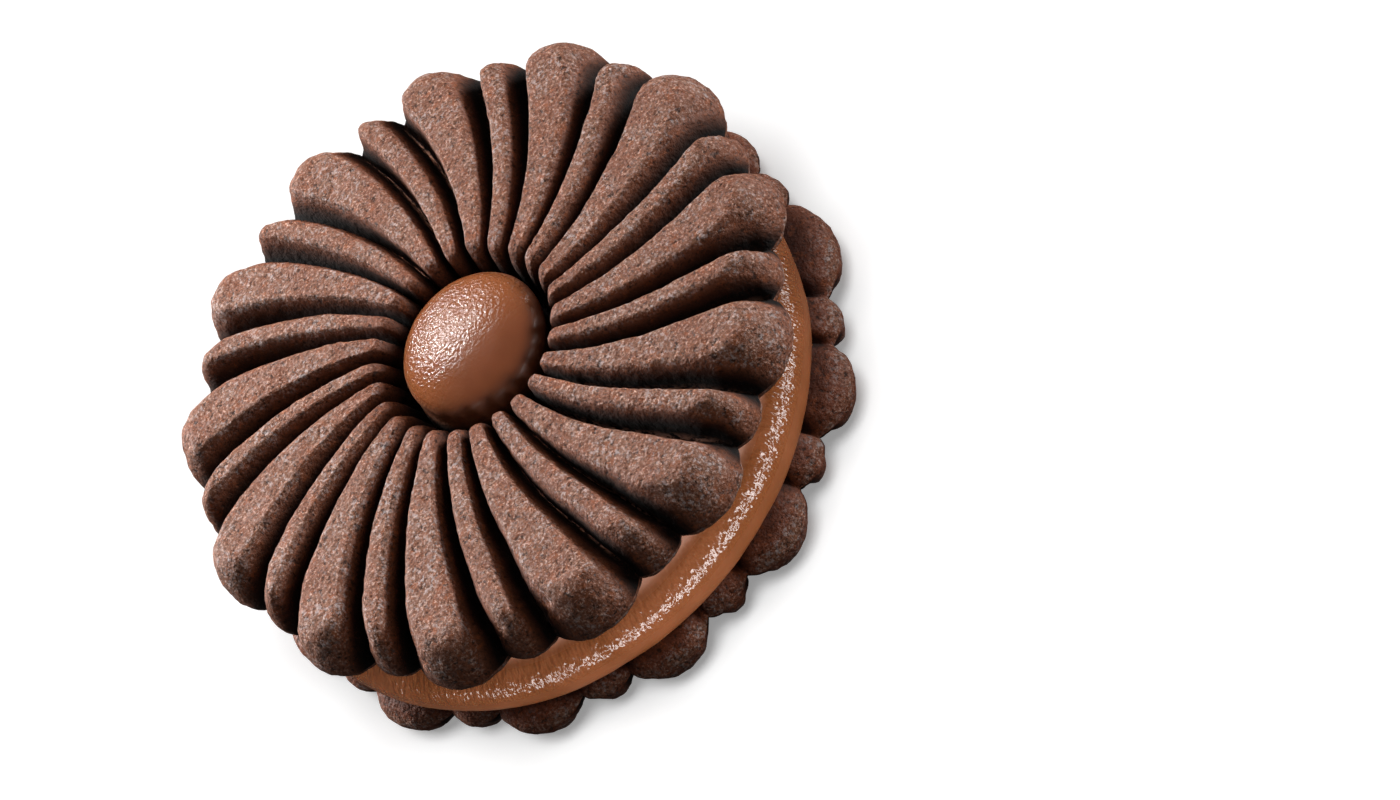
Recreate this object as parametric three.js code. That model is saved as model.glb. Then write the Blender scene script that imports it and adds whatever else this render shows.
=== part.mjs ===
// A sandwich cookie: two flower-shaped chocolate biscuits with a thick layer of fudge between them.
// The fudge also rises through the round hole of the top biscuit and ends there in a low dome.
// Units are millimetres, +Z is up, and the cookie rests on the plane z = 0 with its axis on Z.

import * as THREE from 'three';
import { mergeVertices } from 'three/addons/utils/BufferGeometryUtils.js';

const DEGREE = Math.PI / 180;

// Thicknesses of the three layers.
const BISCUIT_THICKNESS = 5.0;
const FUDGE_THICKNESS = 6.0;
const BOTTOM_BISCUIT_FACE = BISCUIT_THICKNESS;
const TOP_BISCUIT_FACE = BOTTOM_BISCUIT_FACE + FUDGE_THICKNESS;

// The flower outline: wide and narrow petals by turns, with a sharp notch between neighbours.
// A few wide petals came out broader or slimmer than the rest: their number and their stretch.
const PETAL_PAIRS = 13;
const NOTCH_RADIUS = 23.1;
const WIDE_REACH = 2.1;
const NARROW_REACH = 1.1;
const NARROW_SPAN = 9.8 * DEGREE;
const TOP_TURN = 0.6 * DEGREE;
const BOTTOM_TURN = 337.6 * DEGREE;
const TOP_UNEVEN_PETALS = { 5: 1.1, 6: 1.2, 7: 0.82, 9: 0.92, 10: 1.14 };
const BOTTOM_UNEVEN_PETALS = { 0: 1.28, 3: 0.95, 4: 0.95 };

// The petals lean: each ridge turns by this angle for every millimetre that it runs outwards.
const SWIRL_PER_MM = 0.926 * DEGREE;

// Heights above a biscuit's flat face.
const NOSE_HEIGHT = 1.5;
const RIM_GROOVE_HEIGHT = 2.0;
const INNER_GROOVE_HEIGHT = 2.6;
const RING_FLOOR_HEIGHT = 1.7;
const CROWN_DIP = 0.2;

// Radii along a petal, from the middle of the biscuit to its rim.
const HOLE_RADIUS = 6.1;
const BOSS_RADIUS = 5.2;
const BOSS_FOOT_RADIUS = 5.7;
const WIDE_INNER_END = 6.6;
const NARROW_INNER_END = 7.8;
const INNER_END_LENGTH = 1.9;
const GROOVE_START_RADIUS = 9.0;
const CROWN_FLAT_RADIUS = 17.0;
const SHOULDER_FRACTION = 0.78;
const UNDERCUT_WIDTH = 2.0;

// The fudge layer and the dome that fills the hole.
const FUDGE_CONTACT_RADIUS = 20.7;
const FUDGE_BULGE = 2.8;
const NECK_RADIUS = 5.1;
const DOME_RADIUS = 5.7;
const DOME_SHOULDER_HEIGHT = 3.4;
const DOME_UNDERSIDE_DROP = 1.2;
const DOME_TOP_HEIGHT = 5.7;

// How full each rounded form is and how steeply it drops at its end.
const WIDE_FLANK = { fullness: 3.0, steepness: 1.6 };
const NARROW_FLANK = { fullness: 2.2, steepness: 1.8 };
const INNER_END = { fullness: 2.0, steepness: 2.0 };
const SHOULDER = { fullness: 2.0, steepness: 1.6 };

const BISCUIT_COLOR = 0x51342b;
const BISCUIT_ROUGHNESS = 0.85;
const FUDGE_COLOR = 0x915a3e;
const FUDGE_ROUGHNESS = 0.35;

// How finely the surfaces are faceted.
const WIDE_SAMPLES = [-1, -0.84, -0.5, 0, 0.5, 0.84];
const NARROW_SAMPLES = [-1, -0.7, 0, 0.7];
const RELIEF_RADII = [7.1, 8.5, 10.8, 13.8, 16.8];
const SHOULDER_STEPS = [0, 0.36, 0.64, 0.86];
const UNDERCUT_ANGLES = [0, 40, 90];
const FUDGE_SEGMENTS = 64;
const BULGE_STEPS = 8;
const UNDERSIDE_STEPS = 2;
const DOME_STEPS = 5;

function smoothStep(value) {
  const t = Math.min(Math.max(value, 0), 1);
  return t * t * (3 - 2 * t);
}

// A rounded drop from 1 at t = 0 to 0 at t = 1, steeper towards the end.
function roundedDrop(t, { fullness, steepness }) {
  const clamped = Math.min(Math.max(t, 0), 1);
  return (1 - clamped ** fullness) ** (1 / steepness);
}

// The petals in order round the rim: where each starts, how wide it is, and of which kind.
function petalLayout(uneven) {
  const stretches = Array.from({ length: PETAL_PAIRS }, (_, i) => uneven[i] ?? 1);
  const stretchSum = stretches.reduce((sum, stretch) => sum + stretch, 0);
  const wideSpan = (2 * Math.PI - PETAL_PAIRS * NARROW_SPAN) / stretchSum;
  const petals = [];
  let start = (-wideSpan * stretches[0]) / 2;
  for (const stretch of stretches) {
    petals.push({ wide: true, start, span: wideSpan * stretch });
    start += wideSpan * stretch;
    petals.push({ wide: false, start, span: NARROW_SPAN });
    start += NARROW_SPAN;
  }
  return petals;
}

// The rim radius at a place across a petal: a circular arc from notch to notch.
function outlineRadius(petal, across) {
  const reach = petal.wide ? WIDE_REACH : NARROW_REACH;
  const halfChord = NOTCH_RADIUS * Math.sin(petal.span / 2);
  const arcRadius = (halfChord ** 2 + reach ** 2) / (2 * reach);
  const arcHeight = Math.sqrt(arcRadius ** 2 - (across * halfChord) ** 2);
  return NOTCH_RADIUS + arcHeight - (arcRadius - reach);
}

// The lines that run from the middle to the rim, several to a petal and one in every groove.
function petalColumns(uneven) {
  return petalLayout(uneven).flatMap((petal) => {
    const samples = petal.wide ? WIDE_SAMPLES : NARROW_SAMPLES;
    return samples.map((across) => ({
      wide: petal.wide,
      across,
      angle: petal.start + (petal.span * (across + 1)) / 2,
      outline: outlineRadius(petal, across),
    }));
  });
}

function grooveHeight(radius) {
  const inner = smoothStep((radius - HOLE_RADIUS) / (GROOVE_START_RADIUS - HOLE_RADIUS));
  const outward = Math.max(0, (radius - GROOVE_START_RADIUS) / (NOTCH_RADIUS - GROOVE_START_RADIUS));
  const along = INNER_GROOVE_HEIGHT + (RIM_GROOVE_HEIGHT - INNER_GROOVE_HEIGHT) * outward;
  return RING_FLOOR_HEIGHT + (along - RING_FLOOR_HEIGHT) * inner;
}

function crownHeight(radius) {
  const inward = Math.max(0, (CROWN_FLAT_RADIUS - radius) / (CROWN_FLAT_RADIUS - HOLE_RADIUS));
  return BISCUIT_THICKNESS - CROWN_DIP * inward ** 2;
}

// Height of the relief above the flat face: ridges with round flanks, ends and shoulders.
function reliefHeight(column, radius) {
  const across = Math.abs(column.across);
  const flank = roundedDrop(across, column.wide ? WIDE_FLANK : NARROW_FLANK);
  const innerEnd = column.wide ? WIDE_INNER_END : NARROW_INNER_END;
  const fromEnd = (innerEnd + INNER_END_LENGTH - radius) / INNER_END_LENGTH;
  const end = roundedDrop(fromEnd, INNER_END);
  const groove = grooveHeight(radius);
  const ridge = groove + (crownHeight(radius) - groove) * flank * end;
  const shoulder = (radius / column.outline - SHOULDER_FRACTION) / (1 - SHOULDER_FRACTION);
  return NOSE_HEIGHT + (ridge - NOSE_HEIGHT) * roundedDrop(shoulder, SHOULDER);
}

// Each ring of a biscuit is a function that gives a column's radius and height there.
function ringAt(radius, height) {
  return () => [radius, height];
}

function reliefRings() {
  const onRidges = RELIEF_RADII.map((radius) => (column) => [radius, reliefHeight(column, radius)]);
  const onShoulder = SHOULDER_STEPS.map((step) => (column) => {
    const radius = column.outline * (SHOULDER_FRACTION + (1 - SHOULDER_FRACTION) * step);
    return [radius, reliefHeight(column, radius)];
  });
  return [...onRidges, ...onShoulder];
}

function undercutRings() {
  return UNDERCUT_ANGLES.map((degrees) => (column) => [
    column.outline - UNDERCUT_WIDTH * (1 - Math.cos(degrees * DEGREE)),
    NOSE_HEIGHT * (1 - Math.sin(degrees * DEGREE)),
  ]);
}

// A turned blank is pushed into petals: every vertex of the lathe takes its ring's true place.
function biscuitGeometry(uneven, rings, seat) {
  const columns = petalColumns(uneven);
  const blank = rings.map((ring) => new THREE.Vector2(...ring(columns[0])));
  const geometry = new THREE.LatheGeometry(blank, columns.length);
  const position = geometry.getAttribute('position');
  for (let index = 0; index < position.count; index += 1) {
    const column = columns[Math.floor(index / rings.length) % columns.length];
    const [radius, height] = rings[index % rings.length](column);
    const swirl = SWIRL_PER_MM * (radius - NOTCH_RADIUS);
    const [angle, z] = seat(column.angle + swirl, height);
    position.setXYZ(index, radius * Math.cos(angle), radius * Math.sin(angle), z);
  }
  geometry.deleteAttribute('normal');
  geometry.deleteAttribute('uv');
  const merged = mergeVertices(geometry, 1e-4);
  merged.computeVertexNormals();
  return merged;
}

// The top biscuit has its relief up and a round hole in the middle.
function topBiscuit(material) {
  const holeTop = ringAt(HOLE_RADIUS, RING_FLOOR_HEIGHT);
  const holeBottom = ringAt(HOLE_RADIUS, 0);
  const rings = [holeBottom, ...undercutRings().reverse(), ...reliefRings().reverse(), holeTop, holeBottom];
  const seat = (angle, height) => [TOP_TURN + angle, TOP_BISCUIT_FACE + height];
  const geometry = biscuitGeometry(TOP_UNEVEN_PETALS, rings, seat);
  const mesh = new THREE.Mesh(geometry, material);
  mesh.name = 'top_biscuit';
  return mesh;
}

// The bottom biscuit is turned over, so its relief is below, round a flat boss that it rests on.
function bottomBiscuit(material) {
  const boss = [
    ringAt(0, BISCUIT_THICKNESS),
    ringAt(BOSS_RADIUS, BISCUIT_THICKNESS),
    ringAt(BOSS_FOOT_RADIUS, RING_FLOOR_HEIGHT),
  ];
  const rings = [ringAt(0, 0), ...undercutRings().reverse(), ...reliefRings().reverse(), ...boss.reverse()];
  const seat = (angle, height) => [BOTTOM_TURN - angle, BOTTOM_BISCUIT_FACE - height];
  const geometry = biscuitGeometry(BOTTOM_UNEVEN_PETALS, rings, seat);
  const mesh = new THREE.Mesh(geometry, material);
  mesh.name = 'bottom_biscuit';
  return mesh;
}

// The fudge: a disc that bulges out at the side, a neck through the hole and a dome on the neck.
function fudgeFilling(material) {
  const profile = [new THREE.Vector2(0, BOTTOM_BISCUIT_FACE)];
  for (let step = 0; step <= BULGE_STEPS; step += 1) {
    const angle = Math.PI * (step / BULGE_STEPS - 0.5);
    const height = (FUDGE_THICKNESS / 2) * (1 + Math.sin(angle));
    const radius = FUDGE_CONTACT_RADIUS + FUDGE_BULGE * Math.cos(angle);
    profile.push(new THREE.Vector2(radius, BOTTOM_BISCUIT_FACE + height));
  }
  profile.push(new THREE.Vector2(NECK_RADIUS, TOP_BISCUIT_FACE));
  const domeShoulder = TOP_BISCUIT_FACE + DOME_SHOULDER_HEIGHT;
  for (let step = 0; step < UNDERSIDE_STEPS; step += 1) {
    const angle = (Math.PI / 2) * (1 - step / UNDERSIDE_STEPS);
    const radius = NECK_RADIUS + (DOME_RADIUS - NECK_RADIUS) * Math.cos(angle);
    profile.push(new THREE.Vector2(radius, domeShoulder - DOME_UNDERSIDE_DROP * Math.sin(angle)));
  }
  for (let step = 0; step <= DOME_STEPS; step += 1) {
    const angle = (Math.PI / 2) * (step / DOME_STEPS);
    const rise = (DOME_TOP_HEIGHT - DOME_SHOULDER_HEIGHT) * Math.sin(angle);
    const radius = step === DOME_STEPS ? 0 : DOME_RADIUS * Math.cos(angle);
    profile.push(new THREE.Vector2(radius, domeShoulder + rise));
  }
  const geometry = new THREE.LatheGeometry(profile, FUDGE_SEGMENTS);
  geometry.rotateX(Math.PI / 2);
  const mesh = new THREE.Mesh(geometry, material);
  mesh.name = 'fudge_filling';
  return mesh;
}

function matter(color, roughness) {
  return new THREE.MeshStandardMaterial({ color, roughness, metalness: 0 });
}

const cookie = new THREE.Group();
cookie.add(bottomBiscuit(matter(BISCUIT_COLOR, BISCUIT_ROUGHNESS)));
cookie.add(fudgeFilling(matter(FUDGE_COLOR, FUDGE_ROUGHNESS)));
cookie.add(topBiscuit(matter(BISCUIT_COLOR, BISCUIT_ROUGHNESS)));

export default cookie;
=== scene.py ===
"""A chocolate fudge cookie: two pressed flower biscuits with soft fudge between them.

The fudge fills the gap between the biscuits, bulges out at the side, and rises through the
round hole of the top biscuit into a low dome.  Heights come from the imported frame.  Every
size is in millimetres, and a finished mesh is scaled to metres.
"""

from __future__ import annotations

import logging
import math
from collections.abc import Sequence
from dataclasses import dataclass, field, replace
from enum import Enum
from functools import partial, reduce

import bmesh
import bpy
import numpy as np
from mathutils import Matrix, Vector, noise


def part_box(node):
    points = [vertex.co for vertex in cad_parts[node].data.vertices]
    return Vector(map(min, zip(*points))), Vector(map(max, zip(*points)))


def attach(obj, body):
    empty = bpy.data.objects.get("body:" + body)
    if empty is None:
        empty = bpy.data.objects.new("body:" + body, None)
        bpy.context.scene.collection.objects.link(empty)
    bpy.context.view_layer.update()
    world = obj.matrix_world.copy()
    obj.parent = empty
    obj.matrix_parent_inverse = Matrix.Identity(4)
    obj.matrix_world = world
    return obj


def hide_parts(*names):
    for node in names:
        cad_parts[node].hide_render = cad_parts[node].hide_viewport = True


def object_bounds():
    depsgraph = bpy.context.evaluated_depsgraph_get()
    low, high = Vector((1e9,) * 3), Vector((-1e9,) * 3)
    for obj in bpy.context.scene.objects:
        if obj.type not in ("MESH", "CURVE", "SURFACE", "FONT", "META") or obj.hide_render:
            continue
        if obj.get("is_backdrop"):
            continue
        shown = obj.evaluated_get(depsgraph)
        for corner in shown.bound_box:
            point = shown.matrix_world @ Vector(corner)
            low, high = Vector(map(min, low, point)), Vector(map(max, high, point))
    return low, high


def corners() -> list[list[float]]:
    """Read the whole object's lowest and highest corner as plain numbers."""
    return [[float(value) for value in corner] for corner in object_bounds()]


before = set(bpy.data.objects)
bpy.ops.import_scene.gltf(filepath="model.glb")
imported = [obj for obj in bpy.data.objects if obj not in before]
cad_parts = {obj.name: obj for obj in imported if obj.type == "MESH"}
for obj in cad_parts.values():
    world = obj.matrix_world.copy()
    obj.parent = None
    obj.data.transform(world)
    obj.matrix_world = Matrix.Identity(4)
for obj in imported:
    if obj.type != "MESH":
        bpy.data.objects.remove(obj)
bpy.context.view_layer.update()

MM = 0.001
FULL_TURN = 2.0 * math.pi
NOISE_MIDDLE = 0.5
SEED_STEP = 20
LOG = logging.getLogger("cookie")

Array = np.ndarray
Socket = bpy.types.NodeSocket
Color = tuple[float, float, float, float]
Triple = tuple[float, float, float]
Source = Socket | float | Triple | Color


# ---------------------------------------------------------------- small helpers


def linear(code: str) -> Color:
    """Turn a display colour such as "8f5535" into the linear colour that shaders use.

    Args:
        code: Six hexadecimal digits, red first.

    Returns:
        Linear red, green, blue and an alpha of 1.
    """
    shown = [int(code[i : i + 2], 16) / 255 for i in (0, 2, 4)]
    red, green, blue = (
        value / 12.92 if value <= 0.04045 else ((value + 0.055) / 1.055) ** 2.4
        for value in shown
    )
    return (red, green, blue, 1.0)


def smooth_step(value: Array, low: float, high: float) -> Array:
    """Rise smoothly from 0 at low to 1 at high."""
    t = np.clip((value - low) / (high - low), 0.0, 1.0)
    return t * t * (3.0 - 2.0 * t)


def slope(t: Array, rounding: Array) -> Array:
    """Stay at 1 before t = 0, turn over a rounded edge there, and fall straight towards t = 1."""
    turning = (np.clip(t, -rounding, rounding) + rounding) ** 2 / (4.0 * rounding)
    return 1.0 - turning - (np.maximum(t, rounding) - rounding)


def grain(points: Array, size: float, shift: float = 0.0) -> Array:
    """Read smooth random relief at some points.

    Args:
        points: The points, in millimetres.
        size: About how wide one bump of the relief is, in millimetres.
        shift: Moves the relief, so that two readings differ.

    Returns:
        One value for each point, between about -1 and 1.
    """
    places = (points / size + shift).tolist()
    return np.array([noise.noise(place) for place in places])


def rough(points: Array, layers: Sequence[tuple[float, float]], seed: int) -> Array:
    """Add up layers of smooth random relief at some points.

    Args:
        points: The points, in millimetres.
        layers: The depth and the width of the bumps of each layer, in millimetres.
        seed: Sets the whole relief.

    Returns:
        One height for each point, in millimetres.
    """
    heights = np.zeros(len(points))
    for number, (depth, size) in enumerate(layers):
        heights += depth * grain(points, size, seed + SEED_STEP * number)
    return heights


@dataclass(frozen=True)
class Rounding:
    """How full a rounded form stays and how steeply it drops at its end."""

    fullness: float
    steepness: float

    def drop(self, t: Array) -> Array:
        """Fall from 1 at t = 0 to 0 at t = 1, steeper towards the end."""
        return (1.0 - np.clip(t, 0.0, 1.0) ** self.fullness) ** (1.0 / self.steepness)


@dataclass(frozen=True)
class Stretch:
    """One straight stretch of a blank's section: where it ends, and how often it is cut."""

    radius: float
    height: float
    cuts: int


@dataclass
class Turned:
    """A blank turned on the lathe, before it is pressed into shape.

    The section runs through the stretches' ends, and the position along it is kept on every
    vertex: 0 at the start, 1 at the first stretch's end, 2 at the second's, and so on.
    """

    start: tuple[float, float]
    stretches: Sequence[Stretch]
    sectors: int
    steps: int

    def mesh(self, name: str) -> bpy.types.Mesh:
        """Spin the section into a closed mesh.

        Args:
            name: The new mesh's name.

        Returns:
            The mesh, in millimetres, with the float attribute "along".
        """
        bm = bmesh.new()
        along = bm.verts.layers.float.new("along")
        corners = [bm.verts.new((self.start[0], 0.0, self.start[1]))]
        corners += [bm.verts.new((stretch.radius, 0.0, stretch.height)) for stretch in self.stretches]
        for number, vertex in enumerate(corners):
            vertex[along] = number
        edges = [bm.edges.new(pair) for pair in zip(corners, corners[1:])]
        for edge, stretch in zip(edges, self.stretches):
            bmesh.ops.subdivide_edges(bm, edges=[edge], cuts=stretch.cuts)
        section = bm.verts[:] + bm.edges[:]
        share = FULL_TURN / self.sectors
        bmesh.ops.spin(
            bm, geom=section, cent=(0, 0, 0), axis=(0, 0, 1), angle=share,
            steps=self.steps, use_merge=False, use_duplicate=False,
        )
        sector = bm.verts[:] + bm.edges[:] + bm.faces[:]
        for number in range(1, self.sectors):
            copy = bmesh.ops.duplicate(bm, geom=sector)["geom"]
            moved = [item for item in copy if isinstance(item, bmesh.types.BMVert)]
            turn = Matrix.Rotation(share * number, 3, "Z")
            bmesh.ops.rotate(bm, cent=(0, 0, 0), matrix=turn, verts=moved)
        bmesh.ops.remove_doubles(bm, verts=bm.verts[:], dist=1e-4)
        bmesh.ops.recalc_face_normals(bm, faces=bm.faces[:])
        for face in bm.faces:
            face.smooth = True
        mesh = bpy.data.meshes.new(name)
        bm.to_mesh(mesh)
        bm.free()
        return mesh


@dataclass
class Surface:
    """A mesh's vertices as arrays, for moves that press or roughen it."""

    mesh: bpy.types.Mesh
    points: Array = field(init=False)

    def __post_init__(self) -> None:
        """Read the vertices."""
        self.points = self.read("position", 3)

    def read(self, attribute: str, width: int) -> Array:
        """Read a float attribute of every vertex.

        Args:
            attribute: The attribute's name.
            width: How many numbers it has for each vertex, 1 or 3.

        Returns:
            One number or one row of three for each vertex.
        """
        values = np.zeros(len(self.mesh.vertices) * width, np.float32)
        name = "vector" if width == 3 else "value"
        self.mesh.attributes[attribute].data.foreach_get(name, values)
        return values.reshape(-1, width).astype(float) if width > 1 else values.astype(float)

    def place(self, points: Array) -> None:
        """Move every vertex.

        Args:
            points: The new points, in millimetres.
        """
        self.points = points
        self.mesh.vertices.foreach_set("co", points.astype(np.float32).ravel())
        self.mesh.update()

    def normals(self) -> Array:
        """Read the direction in which the surface faces at every vertex.

        Returns:
            One unit row for each vertex.
        """
        values = np.zeros(len(self.mesh.vertices) * 3, np.float32)
        self.mesh.vertex_normals.foreach_get("vector", values)
        return values.reshape(-1, 3).astype(float)

    def raise_by(self, heights: Array) -> None:
        """Move every vertex outwards by its height, or inwards where that is negative."""
        self.place(self.points + self.normals() * heights[:, None])

    def keep(self, name: str, values: Array) -> None:
        """Store one value for each vertex, for a finish to read."""
        attribute = self.mesh.attributes.new(name, "FLOAT", "POINT")
        attribute.data.foreach_set("value", values.astype(np.float32))

    def finish(self, name: str) -> bpy.types.Object:
        """Scale the mesh to metres and make it an object at the origin.

        Args:
            name: The piece's name.

        Returns:
            The new object, linked to the scene.
        """
        self.mesh.attributes.remove(self.mesh.attributes["along"])
        self.mesh.transform(Matrix.Scale(MM, 4))
        piece = bpy.data.objects.new(name, self.mesh)
        bpy.context.scene.collection.objects.link(piece)
        return piece


# ---------------------------------------------------------------- finishes


@dataclass(frozen=True)
class Fade:
    """A smooth change from bottom to top while something else goes from low to high."""

    low: float
    high: float
    bottom: float = 0.0
    top: float = 1.0

    def in_metres(self) -> Fade:
        """Turn low and high from millimetres into metres."""
        return replace(self, low=self.low * MM, high=self.high * MM)


@dataclass(frozen=True)
class Speckle:
    """Soft random relief: a bump's width in millimetres, its finer layers and their strength."""

    size: float
    detail: float
    rough: float = 0.5


class Recipe:
    """A node material put together step by step, in object coordinates."""

    COLOR_INPUTS = (0, 6, 7)
    COLOR_OUTPUT = 2

    def __init__(self, name: str) -> None:
        """Start a material with a bare principled shader.

        Args:
            name: The material's name.
        """
        self.material = bpy.data.materials.new(name)
        self.material.use_nodes = True
        self.tree = self.material.node_tree
        self.tree.nodes.clear()
        self.shader = self.tree.nodes.new("ShaderNodeBsdfPrincipled")
        output = self.tree.nodes.new("ShaderNodeOutputMaterial")
        self.join(self.shader.outputs["BSDF"], output.inputs["Surface"])
        self.place = self.node("TexCoord", "Object", {})

    def join(self, source: Source, target: Socket) -> None:
        """Link a socket to another one, or set a constant on it.

        Args:
            source: The socket or the constant that it comes from.
            target: The socket that it goes to.
        """
        if isinstance(source, bpy.types.NodeSocket):
            self.tree.links.new(source, target)
        else:
            target.default_value = source

    def node(self, kind: str, output: str | int, inputs: dict[str | int, Source], **options: str) -> Socket:
        """Add a node.

        Args:
            kind: The node's type, without the words that all types begin with.
            output: The output that is asked for.
            inputs: What goes into each of its inputs.
            options: The node's other choices.

        Returns:
            That output.
        """
        node = self.tree.nodes.new("ShaderNode" + kind)
        for name, choice in options.items():
            setattr(node, name, choice)
        for name, source in inputs.items():
            self.join(source, node.inputs[name])
        return node.outputs[output]

    def noise(self, speckle: Speckle, place: Socket | None = None) -> Socket:
        """Make soft random relief between 0 and 1, on the object's own coordinates or others."""
        layers = {"Scale": 1.0 / (speckle.size * MM), "Detail": speckle.detail, "Roughness": speckle.rough}
        return self.node("TexNoise", "Fac", {"Vector": place or self.place, **layers})

    def ramp(self, value: Socket, *stops: tuple[float, str]) -> Socket:
        """Turn a value into a colour.

        Args:
            value: The value.
            stops: The colour's code at each of some values, lowest first.

        Returns:
            The colour.
        """
        node = self.tree.nodes.new("ShaderNodeValToRGB")
        self.join(value, node.inputs["Fac"])
        elements = node.color_ramp.elements
        while len(elements) < len(stops):
            elements.new(1.0)
        for element, (position, code) in zip(elements, stops):
            element.position = position
            element.color = linear(code)
        return node.outputs["Color"]

    def span(self, value: Socket, fade: Fade) -> Socket:
        """Fade between two levels as a value goes from low to high."""
        ends = {"From Min": fade.low, "From Max": fade.high, "To Min": fade.bottom, "To Max": fade.top}
        return self.node("MapRange", "Result", {"Value": value, **ends}, interpolation_type="SMOOTHSTEP")

    def maths(self, operation: str, first: Socket | float, second: Socket | float = 0.0) -> Socket:
        """Combine two values, for instance with ADD or MAXIMUM."""
        return self.node("Math", "Value", {0: first, 1: second}, operation=operation)

    def product(self, first: Socket, *others: Socket | float) -> Socket:
        """Multiply values."""
        return reduce(partial(self.maths, "MULTIPLY"), others, first)

    def mix(self, share: Socket, first: Socket | Color, second: Socket | Color) -> Socket:
        """Mix two colours, with share the part that the second one has."""
        sources = dict(zip(self.COLOR_INPUTS, (share, first, second)))
        return self.node("Mix", self.COLOR_OUTPUT, sources, data_type="RGBA")

    def layer(self, under: Socket, code: str, *shares: Socket) -> Socket:
        """Lay a colour over another, as strongly as the product of the shares."""
        return self.mix(self.product(*shares), under, linear(code))

    def attribute(self, name: str) -> Socket:
        """Read a value that the mesh holds at every vertex."""
        return self.node("Attribute", "Fac", {}, attribute_name=name)

    def axis(self, name: str) -> Socket:
        """Read the object's own X, Y or Z, in metres."""
        return self.node("SeparateXYZ", name, {"Vector": self.place})

    def vector(self, operation: str, *values: Socket | Triple, output: str = "Vector") -> Socket:
        """Combine vectors, for instance with MULTIPLY or LENGTH."""
        return self.node("VectorMath", output, dict(enumerate(values)), operation=operation)

    def flat(self) -> Socket:
        """Read the object's own coordinates with the height left out."""
        return self.vector("MULTIPLY", self.place, (1.0, 1.0, 0.0))

    def radius(self) -> Socket:
        """Read the distance from the object's upright axis, in metres."""
        return self.vector("LENGTH", self.flat(), output="Value")

    def unrolled(self, radius: float, squeeze: float) -> Socket:
        """Make coordinates that follow a round side, for marks that run up and down it.

        Args:
            radius: The side's radius, in millimetres.
            squeeze: How much longer the marks are upwards than they are wide.

        Returns:
            The point moved out to that radius, with its height squeezed.
        """
        ring = self.vector("MULTIPLY", self.vector("NORMALIZE", self.flat()), (radius * MM,) * 3)
        upright = (0.0, 0.0, 1.0 / squeeze)
        return self.vector("MULTIPLY_ADD", self.place, upright, ring)

    def bump(self, height: Socket, depth: float, *earlier: Socket) -> Socket:
        """Add fine relief of a depth in millimetres, over an earlier one if it is given."""
        under = {"Normal": normal for normal in earlier}
        return self.node("Bump", "Normal", {"Distance": depth * MM, "Height": height, **under})

    def dress(self, **sources: Source) -> None:
        """Set or link the shader's inputs, with underscores for the spaces in their names."""
        for name, source in sources.items():
            self.join(source, self.shader.inputs[name.replace("_", " ").title().replace("Ior", "IOR")])


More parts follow.
